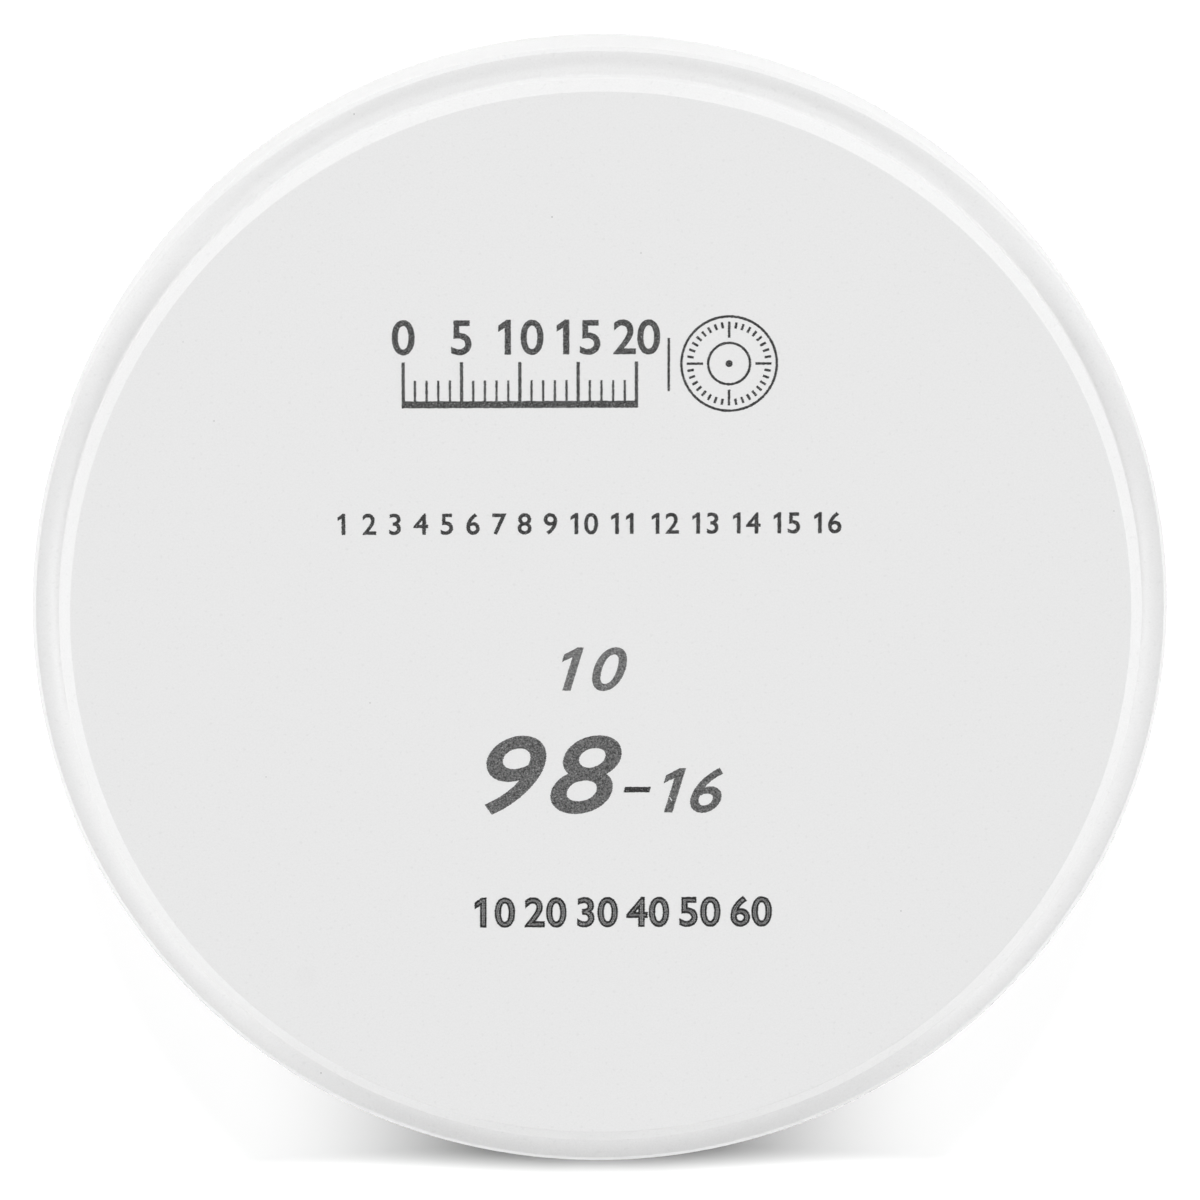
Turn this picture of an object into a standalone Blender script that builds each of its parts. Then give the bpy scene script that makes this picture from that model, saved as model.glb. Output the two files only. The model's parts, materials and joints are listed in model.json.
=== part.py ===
"""Dental milling disc: a round blank of chalky pre-sintered zirconia, 98.5 mm across.

It is pressed and turned as one piece. A collar runs round its middle, which the holder
of a milling machine clamps, and a slightly smaller boss stands proud of the collar on
each face. Crowns and bridges are milled out of the two bosses and the collar's core.

The disc lies on its back face: +Z is its axis, and its origin is the centre of that face.
"""

import math

import bpy

# Driving sizes, in metres.
COLLAR_DIAMETER = 0.0985
COLLAR_THICKNESS = 0.010
SHOULDER_WIDTH = 0.00245  # from the boss's wall out to the collar's rim
FRONT_RISE = 0.003  # the front boss above the collar
BACK_RISE = 0.003  # the back boss below the collar
FACE_CHAMFER = 0.001  # 45 degrees, round the edge of each flat face
RIM_RADIUS = 0.0003  # rounds the collar's two outer corners
ROOT_FILLET = 0.0004  # fills the corner between the boss and the collar

# How finely the rounds are divided.
TURN_STEPS = 128
ARC_STEPS = 4
MERGE_DISTANCE = 0.00001
SHARP_ANGLE = math.radians(30)

collar_radius = COLLAR_DIAMETER / 2
boss_radius = collar_radius - SHOULDER_WIDTH
shoulder_height = COLLAR_THICKNESS / 2
mid_plane = BACK_RISE + shoulder_height


def clear_scene():
    for existing in list(bpy.data.objects):
        bpy.data.objects.remove(existing)


def arc(centre_radius, centre_height, arc_radius, start_degrees, end_degrees):
    """Points of a small round in the profile, from its start angle to its end angle."""
    points = []
    for step in range(ARC_STEPS + 1):
        share = step / ARC_STEPS
        angle = math.radians(start_degrees + (end_degrees - start_degrees) * share)
        across = centre_radius + arc_radius * math.cos(angle)
        height = centre_height + arc_radius * math.sin(angle)
        points.append((across, height))
    return points


def half_profile(rise):
    """One half's outline as (radius, height over the collar's middle), from the axis out."""
    face_height = shoulder_height + rise
    face = [(0, face_height), (boss_radius - FACE_CHAMFER, face_height)]
    chamfer_end = [(boss_radius, face_height - FACE_CHAMFER)]
    root = arc(boss_radius + ROOT_FILLET, shoulder_height + ROOT_FILLET, ROOT_FILLET, 180, 270)
    rim = arc(collar_radius - RIM_RADIUS, shoulder_height - RIM_RADIUS, RIM_RADIUS, 90, 0)
    return face + chamfer_end + root + rim


def disc_profile():
    """The whole outline, down its outer side from the front face's centre to the back's."""
    front = half_profile(FRONT_RISE)
    back = [(across, -height) for across, height in reversed(half_profile(BACK_RISE))]
    return front + back


def turned_mesh(name, profile):
    """A mesh with only the profile's points and the edges between them."""
    mesh = bpy.data.meshes.new(name)
    points = [(across, 0, mid_plane + height) for across, height in profile]
    edges = [(i, i + 1) for i in range(len(points) - 1)]
    mesh.from_pydata(points, edges, [])
    return mesh


def turn(obj):
    """Spins the profile once round +Z, then keeps the result as the object's own mesh."""
    screw = obj.modifiers.new("turned round the axis", "SCREW")
    screw.axis = "Z"
    screw.angle = math.tau
    screw.steps = TURN_STEPS
    screw.render_steps = TURN_STEPS
    screw.use_merge_vertices = True
    screw.merge_threshold = MERGE_DISTANCE
    turned = bpy.data.meshes.new_from_object(
        obj.evaluated_get(bpy.context.evaluated_depsgraph_get())
    )
    obj.modifiers.clear()
    outline = obj.data
    obj.data = turned
    bpy.data.meshes.remove(outline)
    turned.name = obj.name
    turned.shade_smooth()
    turned.set_sharp_from_angle(angle=SHARP_ANGLE)


def chalky_zirconia():
    """The unfired blank: matt white with the faintest warmth, like pressed chalk."""
    material = bpy.data.materials.new("chalky_zirconia")
    material.use_nodes = True
    shader = material.node_tree.nodes["Principled BSDF"]
    shader.inputs["Base Color"].default_value = (0.82, 0.82, 0.81, 1)
    shader.inputs["Metallic"].default_value = 0
    shader.inputs["Roughness"].default_value = 0.8
    return material


clear_scene()
collection = bpy.data.collections.new("dental_milling_disc")
bpy.context.scene.collection.children.link(collection)
disc = bpy.data.objects.new("milling_disc", turned_mesh("outline", disc_profile()))
collection.objects.link(disc)
turn(disc)
disc.data.materials.append(chalky_zirconia())
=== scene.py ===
"""The dental milling disc as it looks: a chalk-white zirconia blank with plain printed marks."""

import json
import math

import bmesh
import bpy
from mathutils import Matrix, Vector, geometry, noise

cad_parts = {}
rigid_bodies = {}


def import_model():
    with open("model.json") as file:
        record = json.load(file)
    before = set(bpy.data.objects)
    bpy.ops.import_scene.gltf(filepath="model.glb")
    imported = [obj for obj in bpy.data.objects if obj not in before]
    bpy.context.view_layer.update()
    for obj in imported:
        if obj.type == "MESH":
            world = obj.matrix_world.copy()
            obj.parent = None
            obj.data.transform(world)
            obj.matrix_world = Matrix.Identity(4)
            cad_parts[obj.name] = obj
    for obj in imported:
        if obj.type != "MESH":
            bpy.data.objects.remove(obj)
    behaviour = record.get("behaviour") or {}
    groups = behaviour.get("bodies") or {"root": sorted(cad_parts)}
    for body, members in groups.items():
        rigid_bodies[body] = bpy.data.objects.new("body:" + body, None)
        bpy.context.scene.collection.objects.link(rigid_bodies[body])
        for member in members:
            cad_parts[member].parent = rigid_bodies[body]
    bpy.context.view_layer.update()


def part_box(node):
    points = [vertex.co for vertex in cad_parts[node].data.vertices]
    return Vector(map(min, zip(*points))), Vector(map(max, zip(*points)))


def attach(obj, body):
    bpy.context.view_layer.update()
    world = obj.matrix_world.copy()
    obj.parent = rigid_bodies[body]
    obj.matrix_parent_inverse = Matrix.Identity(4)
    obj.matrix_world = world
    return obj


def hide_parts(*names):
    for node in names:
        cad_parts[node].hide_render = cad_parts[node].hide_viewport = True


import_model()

# The camera is a long lens 650 mm off. The disc lies on its back boss and the camera looks
# down on it, leaning towards the top of the print and a little to its left.
camera_distance = 0.650
lens_length = 224.9
sensor_width = 36
lean_to_top = math.radians(11.206)
lean_to_left = math.radians(1.174)
aim = Vector((-0.00006, 0.00104, 0.0128))

toward_camera = Vector((-math.tan(lean_to_left), math.tan(lean_to_top), 1)).normalized()
picture_right = Vector((0, 1, 0)).cross(toward_camera).normalized()
picture_up = toward_camera.cross(picture_right)
camera_lens = bpy.data.cameras.new("camera")
camera_lens.lens = lens_length
camera_lens.sensor_width = sensor_width
camera = bpy.data.objects.new("camera", camera_lens)
camera.matrix_world = Matrix.Translation(aim + toward_camera * camera_distance) @ Matrix(
    (picture_right, picture_up, toward_camera)
).transposed().to_4x4()
bpy.context.scene.collection.objects.link(camera)
bpy.context.scene.camera = camera

# The blank is one piece of pre-sintered zirconia, pressed from powder and turned to size: a
# collar round its middle for the clamp of the milling machine, and a chamfered boss on each
# side. It is as soft as chalk, so its edges are rubbed and the collar's crumble a bit.
ink_thickness = 0.000012
shoulder_width = 0.00245
boss_rise = 0.003
face_chamfer = 0.001
rim_chamfer = 0.00035
root_round = 0.00025
rubbed_round = 0.00009
round_steps = 5
support_gap = 0.00004
turn_steps = 1200
merge_distance = 0.000001

low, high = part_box("milling_disc")
collar_radius = (high.x - low.x) / 2
boss_radius = collar_radius - shoulder_width
face_height = high.z - ink_thickness  # the print fills the rest, up to the CAD's face
blank_corners = [
    (0, face_height, 0),
    (boss_radius - face_chamfer, face_height, rubbed_round),
    (boss_radius, high.z - face_chamfer, rubbed_round),
    (boss_radius, high.z - boss_rise, root_round),
    (collar_radius - rim_chamfer, high.z - boss_rise, rubbed_round),
    (collar_radius, high.z - boss_rise - rim_chamfer, rubbed_round),
    (collar_radius, low.z + boss_rise + rim_chamfer, rubbed_round),
    (collar_radius - rim_chamfer, low.z + boss_rise, rubbed_round),
    (boss_radius, low.z + boss_rise, root_round),
    (boss_radius, low.z + face_chamfer, rubbed_round),
    (boss_radius - face_chamfer, low.z, rubbed_round),
    (0, low.z, 0),
]


def rounded_outline(corners):
    """The turned outline, each corner rounded by its own radius with a short flat at each side."""
    points = [Vector(corners[0][:2])]
    for before, corner, after in zip(corners, corners[1:], corners[2:]):
        here = Vector(corner[:2])
        to_before = (Vector(before[:2]) - here).normalized()
        to_after = (Vector(after[:2]) - here).normalized()
        half_angle = to_before.angle(to_after) / 2
        reach = corner[2] / math.tan(half_angle)
        centre = here + (to_before + to_after).normalized() * corner[2] / math.sin(half_angle)
        start = here + to_before * reach - centre
        end = here + to_after * reach - centre
        sweep = -start.angle_signed(end)
        points.append(here + to_before * (reach + support_gap))
        for step in range(round_steps + 1):
            points.append(centre + Matrix.Rotation(sweep * step / round_steps, 2) @ start)
        points.append(here + to_after * (reach + support_gap))
    points.append(Vector(corners[-1][:2]))
    return points


def turned(name, outline):
    """A solid turned round the disc's axis from an outline of (radius, height) points."""
    line = bpy.data.meshes.new("outline")
    stretches = [(i, i + 1) for i in range(len(outline) - 1)]
    line.from_pydata([(point.x, 0, point.y) for point in outline], stretches, [])
    holder = bpy.data.objects.new("outline", line)
    bpy.context.scene.collection.objects.link(holder)
    lathe = holder.modifiers.new("lathe", "SCREW")
    lathe.steps = turn_steps
    lathe.render_steps = turn_steps
    lathe.use_merge_vertices = True
    lathe.merge_threshold = merge_distance
    mesh = bpy.data.meshes.new_from_object(holder.evaluated_get(bpy.context.evaluated_depsgraph_get()))
    bpy.data.objects.remove(holder)
    bpy.data.meshes.remove(line)
    mesh.name = name
    mesh.shade_smooth()
    solid = bpy.data.objects.new(name, mesh)
    bpy.context.scene.collection.objects.link(solid)
    return solid


rub_margin = 1.2
rub_depth = 0.000008
rub_grain = 0.0006
rub_level = 0.5
chip_margin = 1.3
chip_depth = 0.00007
chip_grain = 0.0011
chip_rarity = 0.42


def crumble(mesh):
    """Rubs the outer edges unevenly and breaks small chips out of the collar's front corner."""
    shoulder = high.z - boss_rise
    chip_reach = rim_chamfer * chip_margin
    for vertex in mesh.vertices:
        radius = vertex.co.xy.length
        if radius < boss_radius - face_chamfer * rub_margin:
            continue
        rub = (noise.noise(vertex.co / rub_grain) - rub_level) * rub_depth
        vertex.co.xy *= 1 + min(rub, 0) / radius
        if radius > collar_radius - chip_reach and abs(vertex.co.z - shoulder) < chip_reach:
            above = max(0, noise.noise(vertex.co / chip_grain) - chip_rarity)
            loss = above * chip_depth / (1 - chip_rarity)
            vertex.co.xy *= 1 - loss / radius


disc = turned("zirconia_blank", rounded_outline(blank_corners))
crumble(disc.data)

# Its surface is a fine white powder grain with sparse darker grains. The lathe left faint
# rings on the chamfers and walls, and the face has a few specks of dirt and one faint stain.
millimetre = 0.001
chalk_roughness = 0.9
chalk_gloss = 0.25
chalk_white = 0.85
grain_size = 0.00016
grain_start = 0.25
grain_full = 0.75
grain_waver = 0.023
dark_grain_size = 0.00032
dark_grain_start = 0.68
dark_grain_full = 0.85
dark_grain_loss = 0.045
wave_length = math.tau / 20  # of Blender's wave texture at a scale of 1
lathe_ring_pitch = 0.00016
lathe_ring_waver = 3
lathe_ring_depth = 0.000006
lathe_ring_strength = 0.25
powder_depth = 0.000008
powder_strength = 0.4

# Each speck has its place in millimetres and the share of the white that it takes away.
specks = [
    ((-4.22, 35.03, 16), 0.5),
    ((26.08, -26.03, 16), 0.4),
    ((-33.24, 17.46, 16), 0.35),
    ((3.38, 31.90, 16), 0.35),
    ((-20.01, -7.32, 16), 0.3),
    ((44.18, 9.31, 16), 0.3),
    ((-29.05, -13.83, 16), 0.25),
    ((-35.82, 24.33, 16), 0.2),
    ((-21.10, 43.53, 13), 0.5),
    ((-24.54, -41.11, 13), 0.45),
]
speck_size = 0.00008
spot_core = 0.5
stain_place = (-0.0257, -0.0317, 0.016)
stain_radius = 0.0013
stain_loss = 0.012


def chalk(name):
    """Matt white ceramic with its grain, lathe rings, specks and stain."""
    material = bpy.data.materials.new(name)
    material.use_nodes = True
    nodes = material.node_tree.nodes
    links = material.node_tree.links
    shader = nodes["Principled BSDF"]
    shader.inputs["Roughness"].default_value = chalk_roughness
    shader.inputs["Specular IOR Level"].default_value = chalk_gloss
    place = nodes.new("ShaderNodeTexCoord").outputs["Object"]

    def noise_field(size, detail):
        field = nodes.new("ShaderNodeTexNoise")
        field.inputs["Scale"].default_value = 1 / size
        field.inputs["Detail"].default_value = detail
        links.new(place, field.inputs["Vector"])
        return field.outputs["Fac"]

    def ramp(value, start, end, at_start, at_end):
        step = nodes.new("ShaderNodeMapRange")
        step.inputs["From Min"].default_value = start
        step.inputs["From Max"].default_value = end
        step.inputs["To Min"].default_value = at_start
        step.inputs["To Max"].default_value = at_end
        links.new(value, step.inputs["Value"])
        return step.outputs["Result"]

    def times(one, other):
        product = nodes.new("ShaderNodeMath")
        product.operation = "MULTIPLY"
        links.new(one, product.inputs[0])
        links.new(other, product.inputs[1])
        return product.outputs["Value"]

    def spot(centre, radius, loss):
        apart = nodes.new("ShaderNodeVectorMath")
        apart.operation = "DISTANCE"
        apart.inputs[1].default_value = centre
        links.new(place, apart.inputs[0])
        return ramp(apart.outputs["Value"], radius * spot_core, radius, 1 - loss, 1)

    darkest = chalk_white * (1 - grain_waver)
    lightest = chalk_white * (1 + grain_waver)
    grain = noise_field(grain_size, detail=2)
    white = ramp(grain, grain_start, grain_full, darkest, lightest)
    dark_grains = noise_field(dark_grain_size, detail=0)
    white = times(white, ramp(dark_grains, dark_grain_start, dark_grain_full, 1, 1 - dark_grain_loss))
    white = times(white, spot(stain_place, stain_radius, stain_loss))
    for centre, loss in specks:
        white = times(white, spot([step * millimetre for step in centre], speck_size, loss))
    links.new(white, shader.inputs["Base Color"])

    rings = nodes.new("ShaderNodeTexWave")
    rings.bands_direction = "Z"
    rings.inputs["Scale"].default_value = wave_length / lathe_ring_pitch
    rings.inputs["Distortion"].default_value = lathe_ring_waver
    rings.inputs["Detail"].default_value = 1
    links.new(place, rings.inputs["Vector"])
    lathe_marks = nodes.new("ShaderNodeBump")
    lathe_marks.inputs["Strength"].default_value = lathe_ring_strength
    lathe_marks.inputs["Distance"].default_value = lathe_ring_depth
    links.new(rings.outputs["Fac"], lathe_marks.inputs["Height"])
    powder = nodes.new("ShaderNodeBump")
    powder.inputs["Strength"].default_value = powder_strength
    powder.inputs["Distance"].default_value = powder_depth
    links.new(grain, powder.inputs["Height"])
    links.new(lathe_marks.outputs["Normal"], powder.inputs["Normal"])
    links.new(powder.outputs["Normal"], shader.inputs["Normal"])
    return material


disc.data.materials.append(chalk("chalky_zirconia"))
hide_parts("milling_disc")
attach(disc, "root")

# The print is a thin film of dark grey ink, laid line by line across the face, so its upright
# edges are finely beaded and flecks of the chalk show through. Its characters are plain
# numbers, and the first mark is a scale that is 20 mm long at true size.
font_cap_height = 0.691
character_pitch = 0.7135
curve_steps = 9
longest_step = 0.00004
ink_line_pitch = 0.00015
ink_line_swell = 0.000028
ink_creep = 0.00003
ink_creep_grain = 0.0002
other_noise = Vector((0, 0, 50))
corner_steps = 3
corner_fade = 4
mitre_limit = 0.3
knot_limit = 0.95
double_distance = 0.0000001
ink_sink = 0.000003

# The 1 is drawn from listed corners, with a flag at its top. Its corners are given in cap heights.
flagged_one = ((0.29, 0), (0.432, 0), (0.432, 1), (0.33, 1), (0.1, 0.84), (0.1, 0.7), (0.29, 0.82))


def character_rings(character):
    """The closed outlines of one character, one cap height tall, with its foot at the origin."""
    if character == "1":
        return [[Vector(point) for point in flagged_one]]
    text = bpy.data.curves.new("character", "FONT")
    text.body = character
    text.size = 1 / font_cap_height
    holder = bpy.data.objects.new("character", text)
    bpy.context.scene.collection.objects.link(holder)
    drawn = holder.to_curve(bpy.context.evaluated_depsgraph_get(), apply_modifiers=False)
    rings = []
    for spline in drawn.splines:
        knots = spline.bezier_points
        ring = []
        for knot, next_knot in zip(knots, [*knots[1:], knots[0]]):
            bend = geometry.interpolate_bezier(
                knot.co, knot.handle_right, next_knot.handle_left, next_knot.co, curve_steps
            )
            ring.extend(point.to_2d() for point in bend[:-1])
        rings.append(ring)
    holder.to_curve_clear()
    bpy.data.objects.remove(holder)
    bpy.data.curves.remove(text)
    return rings


def set_line(text, left, baseline, cap_height, slant=0, pitch=character_pitch, stretch=1):
    """The rings of a line of characters, set evenly from its left end."""
    rings = []
    for place, character in enumerate(text):
        start = Vector((left + place * pitch * cap_height, baseline))
        for ring in character_rings(character):
            rings.append(
                [start + Vector((p.x * stretch + p.y * slant, p.y)) * cap_height for p in ring]
            )
    return rings


def without_doubles(ring):
    """The ring without points that repeat the one before them."""
    return [
        point
        for before, point in zip([ring[-1], *ring], ring)
        if (point - before).length > double_distance
    ]


def clearance(point, ring):
    """How far a point is from the nearest side of the ring."""
    nearest = math.inf
    for start, end in zip(ring, [*ring[1:], ring[0]]):
        foot, share = geometry.intersect_point_line(point, start, end)
        if share < 0:
            foot = start
        elif share > 1:
            foot = end
        nearest = min(nearest, (point - foot).length)
    return nearest


def swollen(ring, growth):
    """The ring moved outwards by the growth, with mitred corners and no knots in its bends."""
    ring = without_doubles(ring)
    moved = []
    for before, point, after in zip([ring[-1], *ring], ring, [*ring[1:], ring[0]]):
        ahead = (after - point).normalized()
        behind = (point - before).normalized()
        out = Vector((ahead.y + behind.y, -ahead.x - behind.x))
        moved.append(point + out * growth / max(1 + ahead.dot(behind), mitre_limit))
    return [point for point in moved if clearance(point, ring) > abs(growth) * knot_limit]


def beaded(ring):
    """The ring cut into short steps that creep a little and swell at each line of ink."""
    fine = []
    for point, after in zip(ring, [*ring[1:], ring[0]]):
        count = max(1, math.ceil((after - point).length / longest_step))
        fine.extend(point.lerp(after, step / count) for step in range(count))
    beads = []
    for place, point in enumerate(fine):
        behind = (point - fine[place - corner_steps]).normalized()
        ahead = (fine[(place + corner_steps) % len(fine)] - point).normalized()
        straight = max(0, behind.dot(ahead)) ** corner_fade
        line_wave = math.cos(point.y * math.tau / ink_line_pitch)
        swell = ink_line_swell * straight * line_wave * (behind.y + ahead.y) / 2
        spot = point.to_3d() / ink_creep_grain
        creep = Vector((noise.noise(spot), noise.noise(spot + other_noise))) * ink_creep
        beads.append(point + Vector((swell, 0)) + creep)
    return beads


def ink_film(name, rings, ink):
    """A closed film of ink in the shape of the rings, seated on the face and riding with it."""
    shape = bpy.data.curves.new(name, "CURVE")
    shape.dimensions = "2D"
    shape.fill_mode = "BOTH"
    shape.extrude = (ink_thickness + ink_sink) / 2
    for ring in rings:
        edge = beaded(without_doubles(ring))
        spline = shape.splines.new("POLY")
        spline.points.add(len(edge) - 1)
        for point, place in zip(spline.points, edge):
            point.co = (place.x, place.y, 0, 1)
        spline.use_cyclic_u = True
    holder = bpy.data.objects.new(name, shape)
    bpy.context.scene.collection.objects.link(holder)
    mesh = bpy.data.meshes.new_from_object(holder.evaluated_get(bpy.context.evaluated_depsgraph_get()))
    bpy.data.objects.remove(holder)
    bpy.data.curves.remove(shape)
    mesh.transform(Matrix.Translation((0, 0, high.z - (ink_thickness + ink_sink) / 2)))
    mesh.materials.append(ink)
    welded = bmesh.new()
    welded.from_mesh(mesh)
    bmesh.ops.remove_doubles(welded, verts=welded.verts, dist=double_distance)
    welded.to_mesh(mesh)
    welded.free()
    film = bpy.data.objects.new(name, mesh)
    bpy.context.scene.collection.objects.link(film)
    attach(film, "root")


ink_roughness = 0.75
ink_gloss = 0.2
mottle_size = 0.00015
mottle_start = 0.3
mottle_full = 0.7
fleck_size = 0.00012
fleck_start = 0.6
fleck_full = 0.72
fleck_lift = 0.18


def grey_ink(name, shade, mottle):
    """Matt grey ink of a mottled tone, with light flecks where the chalk shows through."""
    material = bpy.data.materials.new(name)
    material.use_nodes = True
    nodes = material.node_tree.nodes
    links = material.node_tree.links
    shader = nodes["Principled BSDF"]
    shader.inputs["Roughness"].default_value = ink_roughness
    shader.inputs["Specular IOR Level"].default_value = ink_gloss
    place = nodes.new("ShaderNodeTexCoord").outputs["Object"]

    def varied(size, start, end, at_start, at_end):
        field = nodes.new("ShaderNodeTexNoise")
        field.inputs["Scale"].default_value = 1 / size
        field.inputs["Detail"].default_value = 1
        step = nodes.new("ShaderNodeMapRange")
        step.inputs["From Min"].default_value = start
        step.inputs["From Max"].default_value = end
        step.inputs["To Min"].default_value = at_start
        step.inputs["To Max"].default_value = at_end
        links.new(place, field.inputs["Vector"])
        links.new(field.outputs["Fac"], step.inputs["Value"])
        return step.outputs["Result"]

    darkest = shade * (1 - mottle)
    lightest = shade * (1 + mottle)
    tone = nodes.new("ShaderNodeMath")
    links.new(varied(mottle_size, mottle_start, mottle_full, darkest, lightest), tone.inputs[0])
    links.new(varied(fleck_size, fleck_start, fleck_full, 0, fleck_lift), tone.inputs[1])
    links.new(tone.outputs["Value"], shader.inputs["Base Color"])
    return material


# The first mark is a comb of upright ticks on a heavy spine, one for each millimetre, with
# every fifth tick longer and numbered.
dark_ink = grey_ink("dark_ink", shade=0.082, mottle=0.55)
scale_length = 20
numbered_every = 5
scale_left = -0.0170
scale_bottom = 0.0185
scale_spine = 0.0006
fine_tick_width = 0.0002
fine_tick_height = 0.0024
long_tick_width = 0.00028
long_tick_height = 0.0040
scale_cap_height = 0.0029
scale_number_gap = 0.0007
scale_number_growth = 0.00006

comb = [
    Vector((scale_left - long_tick_width / 2, scale_bottom)),
    Vector((scale_left + scale_length * millimetre + long_tick_width / 2, scale_bottom)),
]
scale_numbers = []
for mark in range(scale_length, -1, -1):
    numbered = mark % numbered_every == 0
    width = long_tick_width if numbered else fine_tick_width
    height = long_tick_height if numbered else fine_tick_height
    middle = scale_left + mark * millimetre
    foot = scale_bottom + scale_spine
    head = scale_bottom + height
    comb.append(Vector((middle + width / 2, foot)))
    comb.append(Vector((middle + width / 2, head)))
    comb.append(Vector((middle - width / 2, head)))
    comb.append(Vector((middle - width / 2, foot)))
    if numbered:
        number_width = len(str(mark)) * character_pitch * scale_cap_height
        figures = set_line(
            str(mark), middle - number_width / 2, head + scale_number_gap, scale_cap_height
        )
        scale_numbers += [swollen(ring, scale_number_growth) for ring in figures]
ink_film("print_scale", [comb, *scale_numbers], dark_ink)

# A thin upright rule parts the scale from the mark beside it. It is printed in a finer and
# darker line of the same ink.
fine_ink = grey_ink("fine_ink", shade=0.05, mottle=0.5)
rule_middle = 0.00577
rule_width = 0.00021
rule_foot = 0.01993
rule_head = 0.02454
rule = [
    Vector((rule_middle - rule_width / 2, rule_foot)),
    Vector((rule_middle + rule_width / 2, rule_foot)),
    Vector((rule_middle + rule_width / 2, rule_head)),
    Vector((rule_middle - rule_width / 2, rule_head)),
]
ink_film("print_rule", [rule], fine_ink)

# Beside it is a round target in fine line, as printers use to line things up: two rings with
# short marks inside the outer one, four spokes between them and a dot in the middle.
target_centre = Vector((0.01095, 0.0223))
target_radius = 0.0042
target_line = 0.00021
inner_ring_radius = 0.0019
target_marks = 36
target_spokes = 4
mark_length = 0.00055
spoke_gap = 0.00035
dot_radius = 0.0003
circle_steps = 96


def circle(centre, radius, way=1):
    """A round ring; way -1 makes it the edge of a hole."""
    turns = [way * math.tau * step / circle_steps for step in range(circle_steps)]
    return [centre + radius * Vector((math.cos(turn), math.sin(turn))) for turn in turns]


def spoke(angle, start, end):
    """A straight line of the target, pointing away from its centre."""
    along = Vector((math.cos(angle), math.sin(angle)))
    side = Vector((along.y, -along.x)) * target_line / 2
    return [
        target_centre + along * start + side,
        target_centre + along * end + side,
        target_centre + along * end - side,
        target_centre + along * start - side,
    ]


target = [circle(target_centre, dot_radius)]
for radius in (target_radius, inner_ring_radius):
    target.append(circle(target_centre, radius))
    target.append(circle(target_centre, radius - target_line, way=-1))
marks_end = target_radius - target_line - spoke_gap
for mark in range(target_marks):
    angle = math.tau * mark / target_marks
    if mark % (target_marks // target_spokes) == 0:
        target.append(spoke(angle, inner_ring_radius + spoke_gap, marks_end))
    else:
        target.append(spoke(angle, marks_end - mark_length, marks_end))
ink_film("print_target", target, fine_ink)

# Under them runs a row of small numbers, 1 to 16, spread evenly between two ends. They are
# printed in the same fine ink as the rule and the target.
row_left = -0.02285
row_right = 0.02072
row_baseline = 0.00750
row_cap_height = 0.00178
row_last = 16
row_growth = 0.000035
row_digits = sum(len(str(number)) for number in range(1, row_last + 1))
row_gap = (row_right - row_left - row_digits * character_pitch * row_cap_height) / (row_last - 1)
row_rings = []
pen = row_left
for number in range(1, row_last + 1):
    figure = set_line(str(number), pen, row_baseline, row_cap_height)
    row_rings += [swollen(ring, row_growth) for ring in figure]
    pen += len(str(number)) * character_pitch * row_cap_height + row_gap
ink_film("print_number_row", row_rings, fine_ink)

# The middle of the face carries the collar's thickness in millimetres, and below it the disc's
# width and thickness, in large sloping figures of a paler, grainier ink. A black dash parts
# those two, and the last figures have one small nick.
pale_ink = grey_ink("pale_ink", shade=0.124, mottle=0.6)
faint_ink = grey_ink("faint_ink", shade=0.165, mottle=0.5)
figure_slant = 0.30
figure_growth = 0.018


def sloping_print(name, text, ink, left, baseline, cap_height, pitch, stretch, nicks=()):
    """A film of sloping figures, wider and a bit bolder than the font's, less any nicks in it."""
    figures = set_line(text, left, baseline, cap_height, figure_slant, pitch, stretch)
    bold = [swollen(ring, figure_growth * cap_height) for ring in figures]
    ink_film(name, [*bold, *nicks], ink)


sloping_print(
    "print_collar_thickness",
    "10",
    faint_ink,
    left=-0.0045,
    baseline=-0.00624,
    cap_height=0.00368,
    pitch=0.86,
    stretch=1.12,
)
sloping_print(
    "print_disc_width",
    "98",
    pale_ink,
    left=-0.01160,
    baseline=-0.01704,
    cap_height=0.00665,
    pitch=0.97,
    stretch=1.2,
)
dash_left = 0.00190
dash_width = 0.00225
dash_foot = -0.01534
dash_height = 0.00048
dash = [
    Vector((dash_left, dash_foot)),
    Vector((dash_left + dash_width, dash_foot)),
    Vector((dash_left + dash_width + dash_height * figure_slant, dash_foot + dash_height)),
    Vector((dash_left + dash_height * figure_slant, dash_foot + dash_height)),
]
ink_film("print_dash", [dash], grey_ink("black_ink", shade=0.038, mottle=0.4))
nick = [
    Vector((0.00587, -0.01580)),
    Vector((0.00597, -0.01580)),
    Vector((0.00617, -0.01612)),
    Vector((0.00607, -0.01612)),
]
sloping_print(
    "print_disc_thickness",
    "16",
    pale_ink,
    left=0.0043,
    baseline=-0.01707,
    cap_height=0.00379,
    pitch=0.76,
    stretch=1.1,
    nicks=[nick],
)

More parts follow.
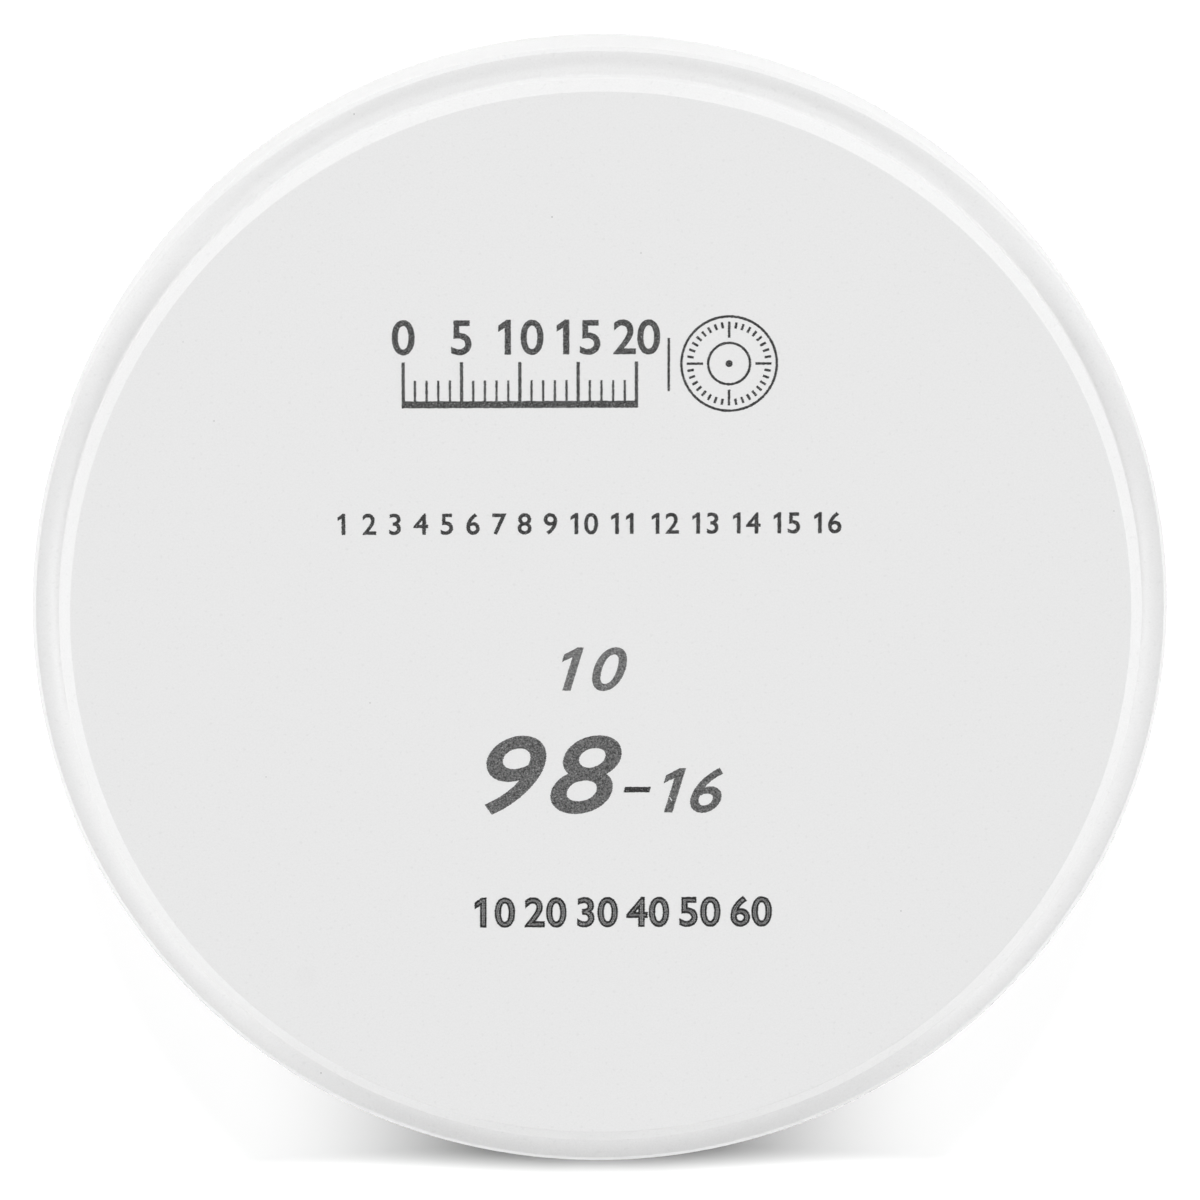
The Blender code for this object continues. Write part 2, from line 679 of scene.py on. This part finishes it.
# The lowest row is set in outlined figures. A dark line runs round each one, and the inside is
# filled with thinner ink that lets more of the chalk show.
outline_cap_height = 0.00247
outline_left = -0.01117
outline_right = 0.01493
outline_baseline = -0.02723
outline_out = 0.00011
outline_in = -0.00008
outline_numbers = [str(number) for number in range(10, 61, 10)]
outline_pitch = 0.76
outline_width = len("".join(outline_numbers)) * outline_pitch * outline_cap_height
outline_gap = (outline_right - outline_left - outline_width) / (len(outline_numbers) - 1)
figures = []
pen = outline_left
for number in outline_numbers:
    figures += set_line(number, pen, outline_baseline, outline_cap_height, pitch=outline_pitch)
    pen += len(number) * outline_pitch * outline_cap_height + outline_gap
inside = [swollen(ring, outline_in) for ring in figures]
ink_film("print_tens", inside, grey_ink("thin_ink", shade=0.17, mottle=0.5))
line_round_figures = [swollen(ring, outline_out) for ring in figures]
line_round_figures += [list(reversed(ring)) for ring in inside]
outline_ink = grey_ink("outline_ink", shade=0.027, mottle=0.45)
ink_film("print_tens_outline", line_round_figures, outline_ink)

# The disc lies on a wide table that looks plain white in the picture, because its own lamps
# are strong. To the disc it is a darker card, so that its glow doesn't drown the soft boxes.
floor_reach = 6.0
table_roughness = 0.9
table_seen = 0.11
table_glow = 0.0598
floor_mesh = bpy.data.meshes.new("floor")
floor_mesh.from_pydata(
    [(x * floor_reach, y * floor_reach, 0) for x, y in ((-1, -1), (1, -1), (1, 1), (-1, 1))],
    [],
    [(0, 1, 2, 3)],
)
floor = bpy.data.objects.new("floor", floor_mesh)
bpy.context.scene.collection.objects.link(floor)
floor_pale = bpy.data.materials.new("floor_pale")
floor_pale.use_nodes = True
floor_nodes = floor_pale.node_tree.nodes
floor_links = floor_pale.node_tree.links
floor_shader = floor_nodes["Principled BSDF"]
floor_shader.inputs["Roughness"].default_value = table_roughness
floor_shader.inputs["Specular IOR Level"].default_value = 0
floor_tone = floor_nodes.new("ShaderNodeMapRange")
floor_tone.inputs["To Min"].default_value = table_glow
floor_tone.inputs["To Max"].default_value = table_seen
seen_by_camera = floor_nodes.new("ShaderNodeLightPath").outputs["Is Camera Ray"]
floor_links.new(seen_by_camera, floor_tone.inputs["Value"])
floor_links.new(floor_tone.outputs["Result"], floor_shader.inputs["Base Color"])
floor_mesh.materials.append(floor_pale)


def hung(name, light, place):
    """A lamp at its place, pointing at the middle of the disc's back and out of sight."""
    lamp = bpy.data.objects.new(name, light)
    lamp.location = place
    lamp.rotation_euler = place.to_track_quat("Z", "Y").to_euler()
    lamp.visible_camera = False
    bpy.context.scene.collection.objects.link(lamp)
    return lamp


def soft_box(name, bearing, height, distance, size, watts):
    """A square soft box that points at the disc from a compass bearing and a height in degrees."""
    light = bpy.data.lights.new(name, "AREA")
    light.size = size
    light.energy = watts
    level = math.radians(height)
    turn = math.radians(bearing)
    across = math.cos(level)
    toward = Vector((math.cos(turn) * across, math.sin(turn) * across, math.sin(level)))
    return hung(name, light, toward * distance)


# One big lamp lights the table from beyond the top of the print and throws the disc's shadow
# towards the bottom. Three spots from above wash it away but for a patch at the lower edge.
table_only = bpy.data.collections.new("table_only")
table_only.objects.link(floor)
table_lamps = [soft_box("table_lamp", bearing=90, height=30.3, distance=4.0, size=1.23, watts=4818)]
spot_height = 4.0
spot_bulb = 0.0004
for name, x, y, reach, soft_edge, watts in (
    ("spot_below", 0, -0.4513, 0.4, 0.0263, 12225),
    ("spot_left", -0.0606, -0.0464, 0.0585, 0.779, 5570),
    ("spot_right", 0.0606, -0.0464, 0.0585, 0.779, 5570),
):
    light = bpy.data.lights.new(name, "SPOT")
    light.energy = watts
    light.spot_size = 2 * math.atan(reach / spot_height)
    light.spot_blend = soft_edge
    light.shadow_soft_size = spot_bulb
    spot = hung(name, light, Vector((x, y, spot_height)))
    spot.rotation_euler = (0, 0, 0)
    table_lamps.append(spot)
for lamp in table_lamps:
    lamp.light_linking.receiver_collection = table_only

# The disc has plain soft studio light: low soft boxes round it, a few higher ones and one
# straight above, in a room that looks white and gives no light of its own.
disc_only = bpy.data.collections.new("disc_only")
for piece in bpy.context.scene.objects:
    if piece.type == "MESH" and piece != floor:
        disc_only.objects.link(piece)
box_distance = 1
for name, bearing, height, size, watts in (
    ("top_box", 90, 90, 0.5, 3.03),
    ("low_box_0", 0, 6, 0.3, 3.00),
    ("low_box_180", 180, 6, 0.3, 2.61),
    ("mid_box_45", 45, 22, 0.3, 4.36),
    ("mid_box_135", 135, 22, 0.3, 4.35),
    ("mid_box_225", 225, 22, 0.3, 0.19),
    ("high_box_90", 90, 45, 0.4, 0.18),
    ("high_box_225", 225, 45, 0.4, 0.62),
    ("high_box_270", 270, 45, 0.4, 2.96),
    ("high_box_315", 315, 45, 0.4, 0.42),
):
    box = soft_box(name, bearing, height, box_distance, size, watts)
    box.light_linking.receiver_collection = disc_only

room = bpy.data.worlds.new("room")
room.use_nodes = True
room_nodes = room.node_tree.nodes
room_nodes["Background"].inputs["Color"].default_value = (1, 1, 1, 1)
seen = room_nodes.new("ShaderNodeLightPath").outputs["Is Camera Ray"]
room.node_tree.links.new(seen, room_nodes["Background"].inputs["Strength"])
bpy.context.scene.world = room
bpy.context.scene.view_settings.view_transform = "Standard"
